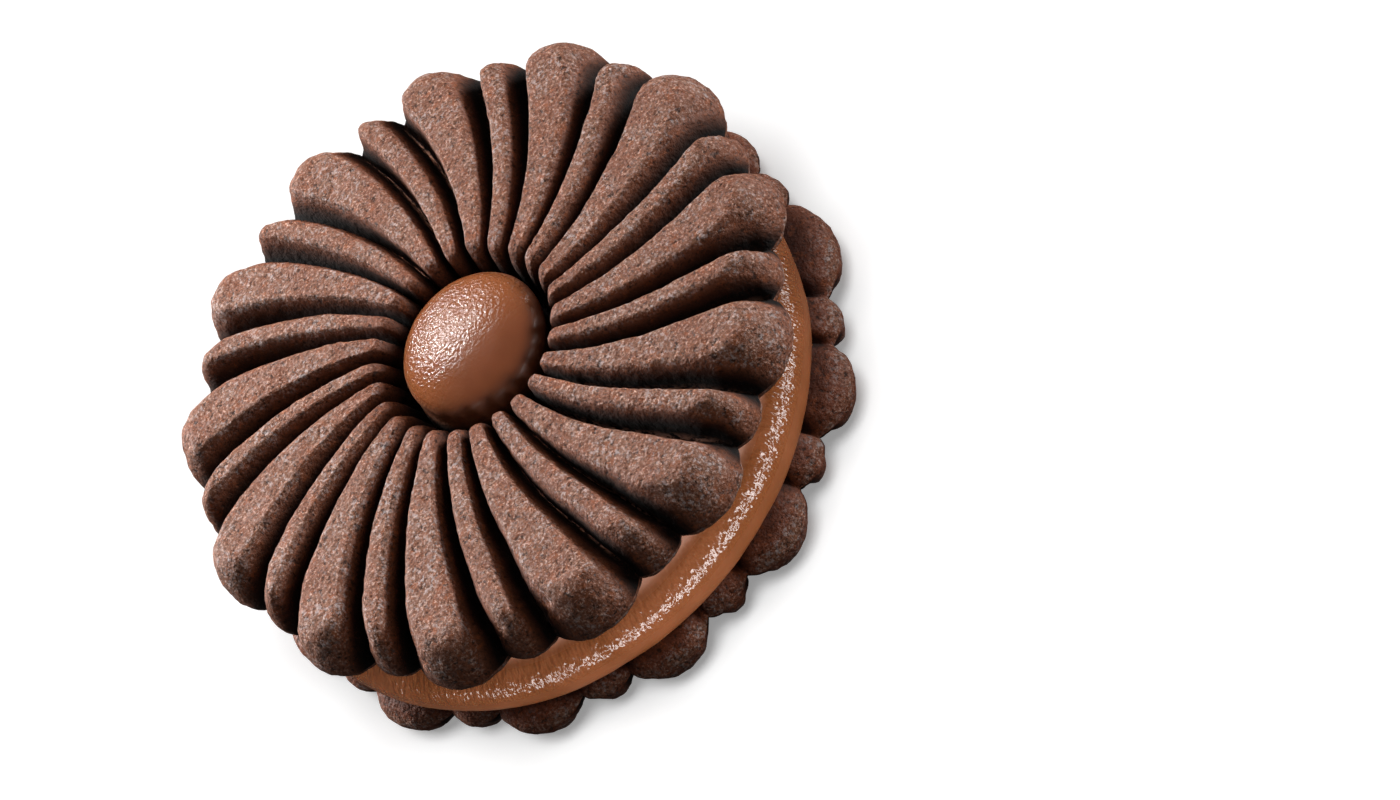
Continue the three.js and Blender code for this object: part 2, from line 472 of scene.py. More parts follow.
@dataclass(frozen=True)
class CocoaCrumb:
    """The finish of a dark cocoa biscuit: a painted sheen and painted glints on the crowns, and painted
    shade that darkens it to near black in the grooves.

    The tones run from groove to top by how far up its ridge a point lies.
    """

    name: str
    # The groove, flank, edge and top tones paint shade by height on the ridges, near black in the grooves.
    groove: str = "080403"
    flank: str = "3a1e12"
    edge: str = "693b26"
    top: str = "704a38"
    pit: str = "22110a"
    # Light crumb flecks together with painted glints, on the crowns only.
    fleck_and_glint: str = "bfa091"
    # Painted sheen: grey specks on the crowns.
    painted_sheen: str = "aba09f"
    ember: str = "95502a"
    bead: str = "a87a66"
    groove_level: float = 0.36
    flank_level: float = 0.62
    edge_level: float = 0.88
    top_level: float = 0.97
    blotches: Speckle = Speckle(2.6, 4.0, 0.65)
    fine: Speckle = Speckle(0.2, 3.0, 0.65)
    crumbs: Speckle = Speckle(0.48, 3.0, 0.6)
    warm: Speckle = Speckle(0.624, 4.0, 0.75)
    cold: Speckle = Speckle(0.34, 3.0, 0.7)
    faults: Speckle = Speckle(1.2, 3.0, 0.6)
    unevenness: float = 0.22
    raised: Fade = Fade(0.74, 0.97)
    lit: Fade = Fade(0.45, 0.86)
    baking: Fade = Fade(0.54, 0.40, 0.0, 0.7)
    cracking: Fade = Fade(0.012, 0.004)
    cracked_parts: Fade = Fade(0.47, 0.56, 0.0, 0.75)
    mottling: Fade = Fade(0.53, 0.40, 0.0, 0.55)
    sanding: Fade = Fade(0.47, 0.36, 0.0, 0.65)
    pitting: Fade = Fade(0.42, 0.33, 0.0, 0.85)
    warming: Fade = Fade(0.53, 0.66, 0.0, 0.4)
    fleck_and_glint_clusters: Fade = Fade(0.36, 0.6, 0.35, 1.0)
    fleck_and_glint_specks: Fade = Fade(0.54, 0.64, 0.0, 0.6)
    painted_sheen_patches: Fade = Fade(0.44, 0.6, 0.25, 1.0)
    painted_sheen_specks: Fade = Fade(0.50, 0.64, 0.0, 0.55)
    beading: Fade = Fade(0.40, 0.56)
    roughness: float = 0.9
    smoothing: Fade = Fade(0.35, 0.7, -0.1, -0.4)
    crumb_depth: float = 0.2
    fine_depth: float = 0.08

    def material(self) -> bpy.types.Material:
        """Lay the tones by height on the ridges, which paints shade down into the grooves, then add pits,
        blotches, flecks with painted glints and a painted sheen.

        Returns:
            The finished material.
        """
        recipe = Recipe(self.name)
        blotches = recipe.noise(self.blotches)
        fine = recipe.noise(self.fine)
        crumbs = recipe.noise(self.crumbs)
        warm = recipe.noise(self.warm)
        cold = recipe.noise(self.cold)
        faults = recipe.noise(self.faults)
        uneven = recipe.product(recipe.maths("SUBTRACT", blotches, NOISE_MIDDLE), self.unevenness)
        level = recipe.maths("ADD", recipe.attribute("crown"), uneven)
        raised = recipe.span(level, self.raised)
        lit = recipe.span(level, self.lit)
        # Painted shade: the tone darkens by the crown level from the crowns down the flanks to near black
        # in the grooves.
        tone = recipe.ramp(
            level,
            (self.groove_level, self.groove),
            (self.flank_level, self.flank),
            (self.edge_level, self.edge),
            (self.top_level, self.top),
        )
        tone = recipe.layer(tone, self.edge, recipe.span(blotches, self.baking), raised)
        split = recipe.maths("ABSOLUTE", recipe.maths("SUBTRACT", faults, NOISE_MIDDLE))
        cracked_parts = recipe.span(blotches, self.cracked_parts)
        tone = recipe.layer(tone, self.pit, recipe.span(split, self.cracking), cracked_parts)
        tone = recipe.layer(tone, self.edge, recipe.span(faults, self.mottling), raised)
        tone = recipe.layer(tone, self.pit, recipe.span(fine, self.sanding))
        tone = recipe.layer(tone, self.pit, recipe.span(crumbs, self.pitting))
        tone = recipe.layer(tone, self.ember, recipe.span(warm, self.warming), lit)
        # Light crumb flecks together with painted glints, laid only on the crowns.
        fleck_and_glint_share = recipe.product(raised, recipe.span(warm, self.fleck_and_glint_clusters))
        tone = recipe.layer(tone, self.fleck_and_glint, recipe.span(fine, self.fleck_and_glint_specks), fleck_and_glint_share)
        # Painted sheen: grey specks in patches on the crowns, standing in for the gloss of the lit tops.
        painted_sheen_mask = recipe.product(raised, recipe.span(blotches, self.painted_sheen_patches))
        tone = recipe.layer(tone, self.painted_sheen, recipe.span(cold, self.painted_sheen_specks), painted_sheen_mask)
        beads = recipe.span(crumbs, self.beading)
        tone = recipe.layer(tone, self.bead, recipe.attribute("seam"), beads)
        smoother = recipe.product(recipe.span(crumbs, self.smoothing), lit)
        normal = recipe.bump(fine, self.fine_depth, recipe.bump(crumbs, self.crumb_depth))
        roughness = recipe.maths("ADD", self.roughness, smoother)
        recipe.dress(base_color=tone, roughness=roughness, normal=normal, ior=1.5, specular_ior_level=0.35)
        return recipe.material


@dataclass(frozen=True)
class SoftFudge:
    """The finish of soft chocolate fudge: lighter at the side, darker and wrinkled on the dome, with
    painted light on the dome's far half and painted shade on the neck below it.

    Heights and distances are in millimetres.
    """

    name: str
    side: str = "6c3e24"
    side_cloud: str = "61361c"
    dome: str = "5c301c"
    dome_cloud: str = "522a16"
    # Painted light: a lighter brown on the dome's far half, which faces the lamps.
    dome_painted_light: str = "8a5130"
    # Painted shade: near black on the neck in the gap round the dome.
    gap: str = "140a07"
    clouds: Speckle = Speckle(4.0, 2.0)
    strokes: Speckle = Speckle(0.29, 1.2)
    ripples: Speckle = Speckle(0.25, 2.1)
    stroke_radius: float = 23.0
    stroke_squeeze: float = 1.5
    stroke_depth: float = 0.15
    ripple_depth: float = 0.14
    clouding: Fade = Fade(0.35, 0.65)
    on_dome: Fade = Fade(12.0, 9.0)
    far_side: Fade = Fade(-4.2, 1.6, 0.05, 1.0)
    painted_light_share: float = 0.8
    out_of_gap: Fade = Fade(12.6, 13.6)
    above_strokes: Fade = Fade(8.2, 8.9, 1.0, 0.0)
    below_strokes: Fade = Fade(6.3, 7.1)
    side_gloss: Fade = Fade(0.0, 0.8, 0.34, 0.16)
    dull_shoulder: Fade = Fade(8.15, 8.8, 0.0, 0.6)
    dome_gloss: Fade = Fade(0.0, 0.9, 0.16, 0.3)
    dull_foot: Fade = Fade(15.6, 14.6, 0.0, 0.7)

    def _roughness(self, recipe: Recipe, on_dome: Socket, near_side: Socket, stroked: Socket) -> Socket:
        """Make the strokes and the wrinkles glossy and the rest duller.

        Args:
            recipe: The material in the making.
            on_dome: 1 on the dome and 0 off it.
            near_side: 1 on the near half and 0 on the far half.
            stroked: 1 where the side has its strokes.

        Returns:
            The roughness.
        """
        height = recipe.axis("Z")
        dull_foot = recipe.product(on_dome, recipe.span(height, self.dull_foot.in_metres()))
        dome = recipe.span(recipe.product(near_side, on_dome), self.dome_gloss)
        shoulder = recipe.span(height, self.dull_shoulder.in_metres())
        side = recipe.maths("MAXIMUM", recipe.span(stroked, self.side_gloss), shoulder)
        off_dome = recipe.maths("SUBTRACT", 1.0, on_dome)
        return recipe.maths(
            "MAXIMUM", recipe.maths("MAXIMUM", dome, dull_foot), recipe.product(off_dome, side),
        )

    def material(self) -> bpy.types.Material:
        """Mix the browns and put the wrinkles of the side and of the dome in their places.

        Returns:
            The finished material.
        """
        recipe = Recipe(self.name)
        height = recipe.axis("Z")
        on_dome = recipe.span(recipe.radius(), self.on_dome.in_metres())
        far_side = recipe.span(recipe.axis("Y"), self.far_side.in_metres())
        cloudy = recipe.span(recipe.noise(self.clouds), self.clouding)
        side = recipe.mix(cloudy, linear(self.side), linear(self.side_cloud))
        dome = recipe.mix(cloudy, linear(self.dome), linear(self.dome_cloud))
        # Painted light: the dome is lighter on its far half, which faces the lamps.
        dome = recipe.layer(dome, self.dome_painted_light, recipe.product(far_side, self.painted_light_share))
        # Painted shade: the neck fades to near black below the dome's foot.
        out_of_gap = recipe.span(height, self.out_of_gap.in_metres())
        middle = recipe.mix(out_of_gap, linear(self.gap), dome)
        above = recipe.span(height, self.above_strokes.in_metres())
        below = recipe.span(height, self.below_strokes.in_metres())
        stroked = recipe.product(above, below)
        strokes = recipe.noise(self.strokes, recipe.unrolled(self.stroke_radius, self.stroke_squeeze))
        ripples = recipe.product(recipe.noise(self.ripples), far_side, on_dome)
        normal = recipe.bump(recipe.product(strokes, stroked), self.stroke_depth)
        normal = recipe.bump(ripples, self.ripple_depth, normal)
        near_side = recipe.maths("SUBTRACT", 1.0, far_side)
        roughness = self._roughness(recipe, on_dome, near_side, stroked)
        recipe.dress(
            base_color=recipe.mix(on_dome, side, middle), roughness=roughness, normal=normal,
            ior=1.46, specular_ior_level=0.5, subsurface_weight=0.2, subsurface_scale=0.8 * MM,
            subsurface_radius=(1.0, 0.4, 0.2),
        )
        return recipe.material


@dataclass(frozen=True)
class PaleFloor:
    """The finish of the plain pale floor."""

    name: str = "pale_floor"
    color: Color = (0.93, 0.93, 0.93, 1.0)
    roughness: float = 0.9
    glow: float = 0.3

    def material(self) -> bpy.types.Material:
        """Make a matte white with a faint glow.

        Returns:
            The finished material.
        """
        recipe = Recipe(self.name)
        recipe.dress(base_color=self.color, roughness=self.roughness)
        recipe.dress(emission_color=self.color, emission_strength=self.glow)
        return recipe.material


# ---------------------------------------------------------------- biscuits


@dataclass(frozen=True)
class Columns:
    """The radial lines of a pressed biscuit, one entry of each array for every line."""

    wide: Array
    across: Array
    rim_angle: Array
    inner_angle: Array
    outline: Array


@dataclass(frozen=True)
class Flower:
    """The outline of a biscuit: wide and narrow petals by turns, with sharp notches between.

    The stretches make single wide petals, by number, wider or narrower than the others.
    """

    stretches: dict[int, float]
    pairs: int = 13
    notch_radius: float = 23.1
    wide_reach: float = 1.8
    narrow_reach: float = 0.8
    narrow_span: float = math.radians(9.8)
    wide_lines: int = 36
    narrow_lines: int = 22
    crowding: float = 0.6
    inner_shift: float = 0.0

    @property
    def lines(self) -> int:
        """Count the radial lines all round."""
        return self.pairs * (self.wide_lines + self.narrow_lines)

    def _across(self, count: int) -> Array:
        """Spread lines over a petal from -1 to 1, closer together near its grooves."""
        even = np.linspace(-1.0, 1.0, count, endpoint=False)
        return (1.0 - self.crowding) * even + self.crowding * (1.5 * even - 0.5 * even**3)

    def columns(self) -> Columns:
        """Lay out the petals and the lines across each of them.

        The petals are wide and narrow round the rim, and equally wide round the middle.

        Returns:
            The lines in order of angle, starting at the first wide petal.
        """
        stretch = np.array([self.stretches.get(i, 1.0) for i in range(self.pairs)])
        wide_spans = (FULL_TURN - self.pairs * self.narrow_span) * stretch / stretch.sum()
        spans = np.stack([wide_spans, np.full(self.pairs, self.narrow_span)], axis=1).ravel()
        centres = np.cumsum(spans) - spans / 2.0 - spans[0] / 2.0
        even_span = FULL_TURN / (2 * self.pairs)
        even_centres = np.arange(2 * self.pairs) * even_span
        even_centres += (centres - even_centres).mean() + self.inner_shift
        across = [self._across(self.wide_lines), self._across(self.narrow_lines)] * self.pairs
        counts = [len(part) for part in across]
        across_all = np.concatenate(across)
        petal = np.repeat(np.arange(2 * self.pairs), counts)
        wide = petal % 2 == 0
        reach = np.where(wide, self.wide_reach, self.narrow_reach)
        half_chord = self.notch_radius * np.sin(spans[petal] / 2.0)
        arc_radius = (half_chord**2 + reach**2) / (2.0 * reach)
        arc = np.sqrt(arc_radius**2 - (across_all * half_chord) ** 2)
        return Columns(
            wide=wide,
            across=across_all,
            rim_angle=centres[petal] + across_all * spans[petal] / 2.0,
            inner_angle=even_centres[petal] + across_all * even_span / 2.0,
            outline=self.notch_radius + arc - (arc_radius - reach),
        )


class Seat(Enum):
    """Which way a biscuit's petals face."""

    UP = 1.0
    DOWN = -1.0


@dataclass
class Biscuit:
    """A flower-shaped biscuit pressed from a turned blank, with swirled ridges and grooves.

    Heights count from its flat face.  Each skin is the depth and width of one layer of bumps.
    """

    name: str
    node: str
    seat: Seat
    turn: float
    flower: Flower
    crumb: CocoaCrumb
    seed: int
    centre_radius: float
    shift: tuple[float, float] = (0.0, 0.0)
    rim_drift: tuple[float, float] = (0.0, 0.0)
    drift_heading: float = math.radians(-75.0)
    drift_reach: tuple[float, float] = (0.1, 0.8)
    drift_radii: tuple[float, float] = (17.0, 23.0)
    thickness: float = 5.0
    swirl: float = math.radians(0.926)
    swirl_end: float = 21.8
    nose_height: float = 1.2
    rim_groove_height: float = 1.3
    inner_groove_height: float = 1.8
    ring_floor_height: float = 0.6
    crown_dip: float = 0.2
    inner_end: float = 7.55
    inner_end_length: float = 1.5
    groove_start: float = 9.0
    crown_flat_radius: float = 17.0
    shoulder_run: float = 2.5
    even_radius: float = 7.5
    spread_radius: float = 22.0
    plateau_radii: tuple[float, ...] = (7.5, 14.0, 20.0, 23.5)
    wide_plateaus: tuple[float, ...] = (0.6, 0.57, 0.58, 0.62)
    narrow_plateaus: tuple[float, ...] = (0.6, 0.47, 0.38, 0.38)
    roundings: tuple[float, ...] = (0.4, 0.25, 0.22, 0.3)
    arch: Rounding = Rounding(2.3, 1.9)
    wide_arch_start: float = 0.46
    narrow_arch_start: float = 0.22
    wide_arch: float = 1.9
    narrow_arch: float = 0.9
    inner_arch: float = 0.3
    undercut: float = 2.0
    inner_drop: Rounding = Rounding(1.8, 2.0)
    shoulder: Rounding = Rounding(2.0, 1.6)
    ring_shoulder_start: float = 0.82
    # arched_darkening and inner_shade set painted shade on the arched flanks and the finger ends; rim_tone
    # darkens the rim faces.
    rim_tone: float = 0.86
    arched_darkening: float = 1.8
    inner_shade: float = 0.12
    inner_shade_end: float = 10.5
    ridge_share: float = 0.66
    seam_height: float = 0.4
    seam_width: float = 0.09
    seam_sharpness: float = 4.0
    crease_depth: float = 0.0
    crease_width: float = 0.5
    crease_start: float = 18.5
    crease_end: float = 19.8
    # face_tone and crease_tone set painted shade: the edge darker towards the fudge and in the creases.
    face_tone: float = 0.6
    crease_tone: float = 0.45
    skin: tuple[tuple[float, float], ...] = ((0.07, 3.4), (0.06, 1.1), (0.045, 0.5), (0.02, 0.23))
    rim_skin: tuple[float, float] = (0.08, 0.8)
    crumbly_rim: tuple[float, float] = (20.0, 23.0)
    boss_edge: float = 0.5
    boss_share: float = 0.6
    hole_cuts: int = 5
    boss_cuts: int = 9
    relief_cuts: int = 96
    edge_cuts: int = 14
    face_cuts: int = 7

    def blank(self) -> Turned:
        """Describe the plain disc that is pressed: its middle, relief, edge and flat face.

        Returns:
            The blank, open in the middle where the biscuit has its hole.
        """
        rim = self.flower.notch_radius + self.flower.wide_reach
        holed = self.seat is Seat.UP
        inner = self.centre_radius if holed else 0.0
        return Turned(
            (inner, 0.0 if holed else self.thickness),
            (
                Stretch(self.centre_radius, self.thickness, self.hole_cuts if holed else self.boss_cuts),
                Stretch(rim, self.thickness, self.relief_cuts),
                Stretch(rim, 0.0, self.edge_cuts),
                Stretch(inner, 0.0, self.face_cuts),
            ),
            self.flower.pairs,
            self.flower.lines // self.flower.pairs,
        )

    def _groove_height(self, radius: Array) -> Array:
        """Follow the groove floor, from the low ring round the middle out to the rim.

        Args:
            radius: Each point's radius.

        Returns:
            The floor's height there.
        """
        inner = smooth_step(radius, self.centre_radius, self.groove_start)
        outward = (radius - self.groove_start) / (self.flower.notch_radius - self.groove_start)
        fall = self.rim_groove_height - self.inner_groove_height
        along = self.inner_groove_height + fall * np.maximum(0.0, outward)
        return self.ring_floor_height + (along - self.ring_floor_height) * inner

    def _crown_height(self, radius: Array) -> Array:
        """Follow the petals' crowns, which dip a little towards the middle."""
        inward = (self.crown_flat_radius - radius) / (self.crown_flat_radius - self.centre_radius)
        return self.thickness - self.crown_dip * np.maximum(0.0, inward) ** 2

    def _spread(self, radius: Array) -> Array:
        """Rise from 0 where the ridges are equally wide to 1 where they are wide and narrow."""
        return np.clip((radius - self.even_radius) / (self.spread_radius - self.even_radius), 0.0, 1.0)

    def _swirl_radius(self, radius: Array) -> Array:
        """Follow the radius up to the shoulder, and stay there over the last millimetres."""
        past = np.maximum(0.0, radius - self.swirl_end)
        return radius - np.where(past < 1.0, past**2 / 2.0, past - 0.5)

    def _relief(self, columns: Columns, radius: Array) -> tuple[Array, Array, Array]:
        """Height above the flat face, how far up the ridge a point lies with painted shade laid on, and how
        far up the seam.

        Args:
            columns: The line that each point lies on.
            radius: Each point's radius.

        Returns:
            The heights, tone levels from 0 in a groove to 1 on a crown with painted shade laid on, and the
            seam's from 0 to 1.
        """
        across = np.abs(columns.across)
        wide_plateau = np.interp(radius, self.plateau_radii, self.wide_plateaus)
        narrow_plateau = np.interp(radius, self.plateau_radii, self.narrow_plateaus)
        plateau = np.where(columns.wide, wide_plateau, narrow_plateau)
        rounding = np.interp(radius, self.plateau_radii, self.roundings)
        creased = slope((across - plateau) / (1.0 - plateau), rounding)
        arch_start = np.where(columns.wide, self.wide_arch_start, self.narrow_arch_start)
        arched = self.arch.drop((across - arch_start) / (1.0 - arch_start))
        flank = np.where(columns.across < 0.0, arched, creased)
        hollow = 1.0 - np.sqrt(1.0 - np.minimum(across / plateau, 1.0) ** 2)
        inner = self.inner_end + self.inner_arch * hollow
        end = self.inner_drop.drop((inner - radius) / self.inner_end_length)
        groove = self._groove_height(radius)
        ridge = groove + (self._crown_height(radius) - groove) * flank * end
        arch = np.where(columns.wide, self.wide_arch, self.narrow_arch)
        knee = columns.outline - self.shoulder_run - arch * hollow
        fall = self.shoulder.drop((radius - knee) / (columns.outline - knee))
        half_width = radius * math.pi / (2 * self.flower.pairs)
        seam = np.exp(-(((1.0 - across) * half_width / self.seam_width) ** 2)) * fall
        seam *= smooth_step(radius, self.inner_end, self.groove_start)
        height = self.nose_height + (ridge - self.nose_height) * fall + self.seam_height * seam
        seam = seam**self.seam_sharpness
        # Painted shade: the arched flanks darken to black sooner and the finger ends darken towards the
        # ring; rim_tone makes the rim faces a little darker.
        toned = np.where(columns.across < 0.0, arched**self.arched_darkening, creased)
        toned *= 1.0 - self.inner_shade * (1.0 - smooth_step(radius, self.inner_end, self.inner_shade_end))
        crown = toned * end * (self.rim_tone + (1.0 - self.rim_tone) * fall)
        return height, crown, seam

    def _relief_radius(self, t: Array, outline: Array) -> Array:
        """Spread the rings: even along the ridges, then closer together round the shoulder.

        Args:
            t: How far through the relief each point lies, from 0 to 1.
            outline: The biscuit's radius on its line.

        Returns:
            The point's radius.
        """
        edge = self.ring_shoulder_start * outline
        ridge = self.centre_radius + (edge - self.centre_radius) * np.minimum(t / self.ridge_share, 1.0)
        turn = np.clip((t - self.ridge_share) / (1.0 - self.ridge_share), 0.0, 1.0) * math.pi / 2.0
        return ridge + (outline - edge) * np.sin(turn)

    def _middle(self, t: Array) -> tuple[Array, Array]:
        """Follow the hole's wall, or the boss that the cookie rests on.

        Args:
            t: How far through the middle each point lies, from 0 to 1.

        Returns:
            The radius and the height of every point.
        """
        if self.seat is Seat.UP:
            return np.full_like(t, self.centre_radius), self.ring_floor_height * t
        flat = np.minimum(t / self.boss_share, 1.0)
        wall = np.clip((t - self.boss_share) / (1.0 - self.boss_share), 0.0, 1.0)
        radius = (self.centre_radius - self.boss_edge) * flat + self.boss_edge * wall
        return radius, self.thickness - (self.thickness - self.ring_floor_height) * wall**2

    def _columns(self, points: Array) -> Columns:
        """Find the radial line that each point of the blank lies on.

        Args:
            points: The points.

        Returns:
            The lines, one entry for every point.
        """
        angle = np.arctan2(points[:, 1], points[:, 0])
        number = np.rint(angle / FULL_TURN * self.flower.lines).astype(int) % self.flower.lines
        lines = self.flower.columns()
        return Columns(*(getattr(lines, name)[number] for name in Columns.__dataclass_fields__))

    def _section(self, columns: Columns, along: Array) -> tuple[Array, Array, Array, Array]:
        """Follow the pressed section: the middle, the relief, the edge and the flat face.

        Args:
            columns: The line that each point lies on.
            along: How far along the blank's section it lies.

        Returns:
            Its radius, its height above the flat face, how far up its seam it lies, and a tone level: how
            far up its ridge it lies on the relief, and painted shade on the edge and the face.
        """
        middle_radius, middle_height = self._middle(np.clip(along, 0.0, 1.0))
        relief_radius = self._relief_radius(np.clip(along - 1.0, 0.0, 1.0), columns.outline)
        relief_height, crown, seam = self._relief(columns, relief_radius)
        edge = np.clip(along - 2.0, 0.0, 1.0) * math.pi / 2.0
        edge_radius = columns.outline - self.undercut * (1.0 - np.cos(edge))
        face = np.clip(along - 3.0, 0.0, 1.0)
        inner = self.centre_radius if self.seat is Seat.UP else 0.0
        face_radius = (columns.outline - self.undercut) * (1.0 - face) + inner * face
        gap = (1.0 - np.abs(columns.across)) * self.flower.notch_radius * math.pi / (2 * self.flower.pairs)
        creased = np.exp(-((gap / self.crease_width) ** 2))
        crease = self.crease_depth * creased
        crease *= smooth_step(face_radius, self.crease_start, self.crease_end)
        edge_height = self.nose_height * (1.0 - np.sin(edge)) + crease * np.sin(edge)
        part = [along <= 1.0, along <= 2.0, along <= 3.0]
        radius = np.select(part, [middle_radius, relief_radius, edge_radius], face_radius)
        height = np.select(part, [middle_height, relief_height, edge_height], crease)
        # Painted shade: the edge darkens from its nose towards the flat face by the fudge, and more in the
        # creases between the lobes.
        edge_and_face_shade = self.face_tone + (1.0 - self.face_tone) * np.cos(edge) ** 2
        edge_and_face_shade -= self.crease_tone * creased * np.sin(edge)
        on_top = along <= 2.0
        return radius, height, np.where(on_top, crown, edge_and_face_shade), np.where(on_top, seam, 0.0)

    def press(self, surface: Surface) -> None:
        """Push the blank into petals, and keep how far up its ridge and seam each vertex lies.

        Args:
            surface: The blank's surface.
        """
        columns = self._columns(surface.points)
        radius, height, crown, seam = self._section(columns, surface.read("along", 1))
        spread = self._spread(radius)
        turned = columns.rim_angle * spread + columns.inner_angle * (1.0 - spread)
        turned += self.swirl * (self._swirl_radius(radius) - self.flower.notch_radius)
        heading = self.turn + self.seat.value * turned
        drift = smooth_step(np.cos(heading - self.drift_heading), *self.drift_reach)
        drift *= smooth_step(radius, *self.drift_radii)
        x = radius * np.cos(heading) + self.shift[0] + self.rim_drift[0] * drift
        y = radius * np.sin(heading) + self.shift[1] + self.rim_drift[1] * drift
        level = self._face_level() + self.seat.value * height
        surface.place(np.stack([x, y, level], axis=1))
        surface.keep("seam", seam)
        # crown carries the painted shade levels that the finish turns into tone.
        surface.keep("crown", crown)

    def _face_level(self) -> float:
        """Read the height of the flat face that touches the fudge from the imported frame."""
        low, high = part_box(self.node)
        return (low.z if self.seat is Seat.UP else high.z) / MM

    def crumble(self, surface: Surface) -> None:
        """Give the pressed dough its uneven, sandy skin, and keep it off the floor.

        Args:
            surface: The pressed surface.
        """
        points = surface.points
        heights = rough(points, self.skin, self.seed)
        depth, size = self.rim_skin
        crumbly = smooth_step(np.hypot(points[:, 0], points[:, 1]), *self.crumbly_rim)
        heights += depth * crumbly * grain(points, size, self.seed + SEED_STEP * len(self.skin))
        surface.raise_by(heights)
        if self.seat is Seat.DOWN:
            rested = surface.points.copy()
            rested[:, 2] = np.maximum(rested[:, 2], 0.0)
            surface.place(rested)

    def build(self) -> bpy.types.Object:
        """Turn, press, crumble and dress the biscuit.

        Returns:
            The finished piece.
        """
        surface = Surface(self.blank().mesh(self.name))
        self.press(surface)
        self.crumble(surface)
        piece = surface.finish(self.name)
        piece.data.materials.append(self.crumb.material())
        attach(piece, "root")
        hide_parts(self.node)
        return piece


# ---------------------------------------------------------------- fudge


